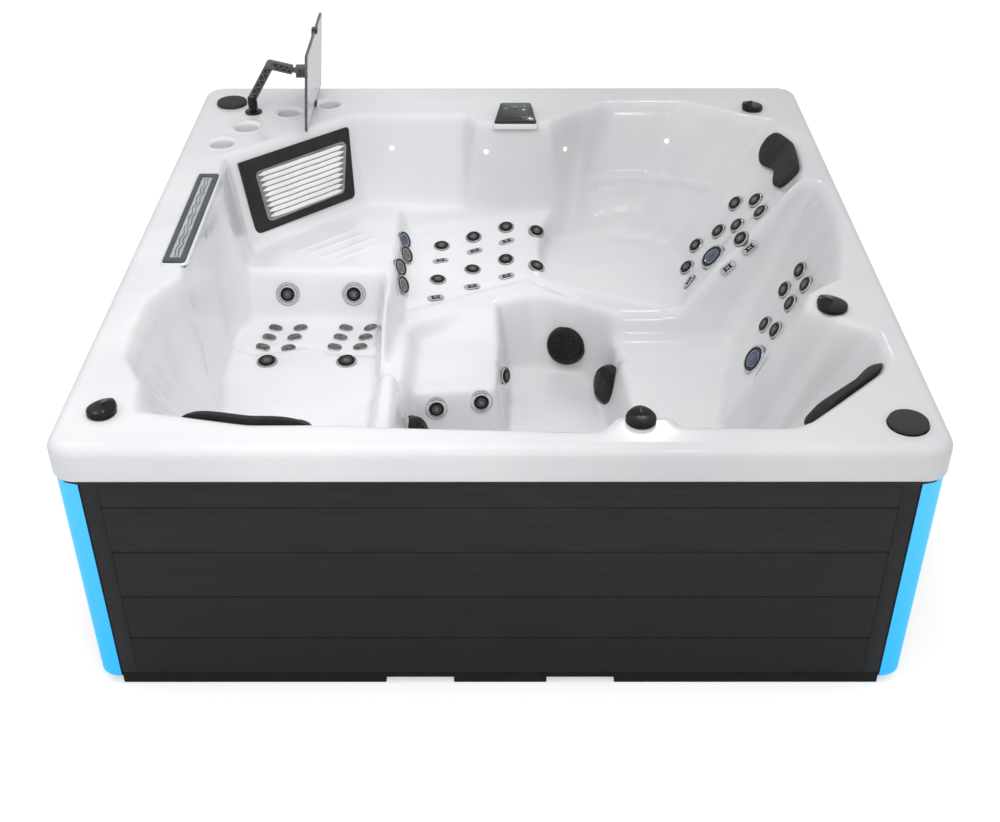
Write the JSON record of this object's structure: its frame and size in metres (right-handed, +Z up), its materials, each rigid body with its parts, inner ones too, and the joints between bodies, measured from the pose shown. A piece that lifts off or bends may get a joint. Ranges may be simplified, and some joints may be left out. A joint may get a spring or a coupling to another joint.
{
  "type": "hot tub",
  "caption": "Square acrylic hot tub with moulded seats, lounger, jets, a boarded cabinet with lit corners, a tablet arm and working fittings.",
  "frame": {"origin": "on the ground below the middle of the tub", "axes": "+X right, +Y back (away from the viewer of the picture), +Z up"},
  "size_m": [2.2, 2.28, 1.1056],
  "materials": {
    "acrylic": "glossy white acrylic",
    "tray": "dull dark plastic",
    "frame": "dark plastic-covered frame",
    "board": "dark matt boards",
    "diffuser": "lit blue diffuser",
    "faceplate": "dark satin plastic",
    "grille": "pale satin plastic",
    "flap": "dark plastic",
    "housing": "pale plastic",
    "filter": "pleated filter cloth",
    "pillow": "soft dark foam",
    "spout": "dark smoky plastic",
    "control": "glossy black plastic",
    "button": "satin dark plastic",
    "arm": "dark coated metal",
    "holder": "dark coated metal",
    "screen": "grey glossy face",
    "fitting": "satin black plastic",
    "valve": "pale plastic",
    "cover": "black plastic",
    "motor": "dark painted casting",
    "box": "grey case",
    "jet": "dark satin plastic",
    "jet_face": "dark satin plastic"
  },
  "bodies": {
    "tub": {"air_blower": "motor", "arm_base": "fitting", "base_pan": "tray", "cabinet_frame": "frame", "control_panel": "control", "filter_cartridge": "filter", "filter_frame": "faceplate", "filter_grille": "grille", "filter_housing": "housing", "jets_back": "jet", "jets_calf": "jet", "jets_divider": "jet", "jets_foot": "jet", "jets_legs": "jet", "jets_right": "jet", "light_back_left": "diffuser", "light_back_right": "diffuser", "light_front_left": "diffuser", "light_front_right": "diffuser", "panel_back": "board", "panel_front": "board", "panel_left": "board", "panel_right": "board", "pillow_corner": "pillow", "pillow_left": "pillow", "pillow_lounger": "pillow", "pump_1": "motor", "pump_2": "motor", "spa_pack": "box", "suction_cover_1": "cover", "suction_cover_2": "cover", "suction_cover_3": "cover", "tub_shell": "acrylic", "valve_1": "valve", "valve_2": "valve", "valve_3": "valve", "valve_4": "valve", "waterfall": "spout"},
    "lower_arm": {"lower_arm": "arm"},
    "upper_arm": {"upper_arm": "arm"},
    "pan": {"pan_block": "arm"},
    "tablet": {"screen_holder": "holder", "screen": "screen"},
    "button_1": {"button_1": "button"},
    "button_2": {"button_2": "button"},
    "button_3": {"button_3": "button"},
    "button_4": {"button_4": "button"},
    "button_5": {"button_5": "button"},
    "button_6": {"button_6": "button"},
    "knob_1": {"knob_1": "fitting"},
    "knob_2": {"knob_2": "fitting"},
    "knob_3": {"knob_3": "fitting"},
    "knob_4": {"knob_4": "fitting"},
    "speaker_1": {"speaker_1": "fitting"},
    "speaker_2": {"speaker_2": "fitting"},
    "jet_face_1": {"jet_face_1": "jet_face"},
    "jet_face_2": {"jet_face_2": "jet_face"},
    "jet_face_3": {"jet_face_3": "jet_face"},
    "jet_face_4": {"jet_face_4": "jet_face"},
    "weir_flap": {"weir_flap": "flap"}
  },
  "joints": [
    {"name": "button_1_press", "type": "slide", "parent": "tub", "child": "button_1", "axis": [0, 0.1287, -0.9917], "range_m": [0, 0.0012], "stiffness_N_per_m": 400, "springref_m": -0.0005},
    {"name": "button_2_press", "type": "slide", "parent": "tub", "child": "button_2", "axis": [0, 0.1287, -0.9917], "range_m": [0, 0.0012], "stiffness_N_per_m": 400, "springref_m": -0.0005},
    {"name": "button_3_press", "type": "slide", "parent": "tub", "child": "button_3", "axis": [0, 0.1287, -0.9917], "range_m": [0, 0.0012], "stiffness_N_per_m": 400, "springref_m": -0.0005},
    {"name": "button_4_press", "type": "slide", "parent": "tub", "child": "button_4", "axis": [0, 0.1287, -0.9917], "range_m": [0, 0.0012], "stiffness_N_per_m": 400, "springref_m": -0.0005},
    {"name": "button_5_press", "type": "slide", "parent": "tub", "child": "button_5", "axis": [0, 0.1287, -0.9917], "range_m": [0, 0.0012], "stiffness_N_per_m": 400, "springref_m": -0.0005},
    {"name": "button_6_press", "type": "slide", "parent": "tub", "child": "button_6", "axis": [0, 0.1287, -0.9917], "range_m": [0, 0.0012], "stiffness_N_per_m": 400, "springref_m": -0.0005},
    {"name": "knob_1_turn", "type": "hinge", "parent": "tub", "child": "knob_1", "pos_m": [-0.9845, -0.98496, 0.8103], "axis": [0, 0, 1], "range_deg": [-90, 90]},
    {"name": "knob_2_turn", "type": "hinge", "parent": "tub", "child": "knob_2", "pos_m": [0.3454, -1.0203, 0.8103], "axis": [0, 0, 1], "range_deg": [-90, 90]},
    {"name": "knob_3_turn", "type": "hinge", "parent": "tub", "child": "knob_3", "pos_m": [0.9218, -0.4845, 0.8103], "axis": [0, 0, 1], "range_deg": [-90, 90]},
    {"name": "knob_4_turn", "type": "hinge", "parent": "tub", "child": "knob_4", "pos_m": [0.913, 0.91656, 0.8103], "axis": [0, 0, 1], "range_deg": [-90, 90]},
    {"name": "speaker_1_rise", "type": "slide", "parent": "tub", "child": "speaker_1", "axis": [0, 0, 1], "range_m": [0, 0.055]},
    {"name": "speaker_2_rise", "type": "slide", "parent": "tub", "child": "speaker_2", "axis": [0, 0, 1], "range_m": [0, 0.055]},
    {"name": "arm_swivel", "type": "hinge", "parent": "tub", "child": "lower_arm", "pos_m": [-0.8921, 0.89034, 0.81], "axis": [0, 0, 1], "range_deg": [-100, 45]},
    {"name": "arm_elbow", "type": "hinge", "parent": "lower_arm", "child": "upper_arm", "pos_m": [-0.815, 0.89034, 0.989], "axis": [0, 1, 0], "range_deg": [-60, 0]},
    {"name": "tablet_pan", "type": "hinge", "parent": "upper_arm", "child": "pan", "pos_m": [-0.716, 0.89034, 0.965], "axis": [0, 0, 1], "range_deg": [-30, 30]},
    {"name": "tablet_tilt", "type": "hinge", "parent": "pan", "child": "tablet", "pos_m": [-0.689, 0.89034, 0.965], "axis": [0, 1, 0], "range_deg": [-20, 20]},
    {"name": "jet_face_1_turn", "type": "hinge", "parent": "tub", "child": "jet_face_1", "pos_m": [-0.72051, 0.25073, 0.4266], "axis": [-0.0069, -0.9125, 0.4091], "range_deg": [-90, 90]},
    {"name": "jet_face_2_turn", "type": "hinge", "parent": "tub", "child": "jet_face_2", "pos_m": [-0.49719, 0.25157, 0.4262], "axis": [0.0138, -0.9335, 0.3582], "range_deg": [-90, 90]},
    {"name": "jet_face_3_turn", "type": "hinge", "parent": "tub", "child": "jet_face_3", "pos_m": [0.73149, 0.36024, 0.5014], "axis": [-0.7562, 0.1399, 0.6392], "range_deg": [-90, 90]},
    {"name": "jet_face_4_turn", "type": "hinge", "parent": "tub", "child": "jet_face_4", "pos_m": [0.79972, -0.17283, 0.43291], "axis": [-0.8653, 0.1793, 0.468], "range_deg": [-90, 90]},
    {"name": "weir_flap_swing", "type": "hinge", "parent": "tub", "child": "weir_flap", "pos_m": [-0.75302, 0.69864, 0.68808], "axis": [0.7877, 0.616, 0], "range_deg": [-20, 60]}
  ]
}
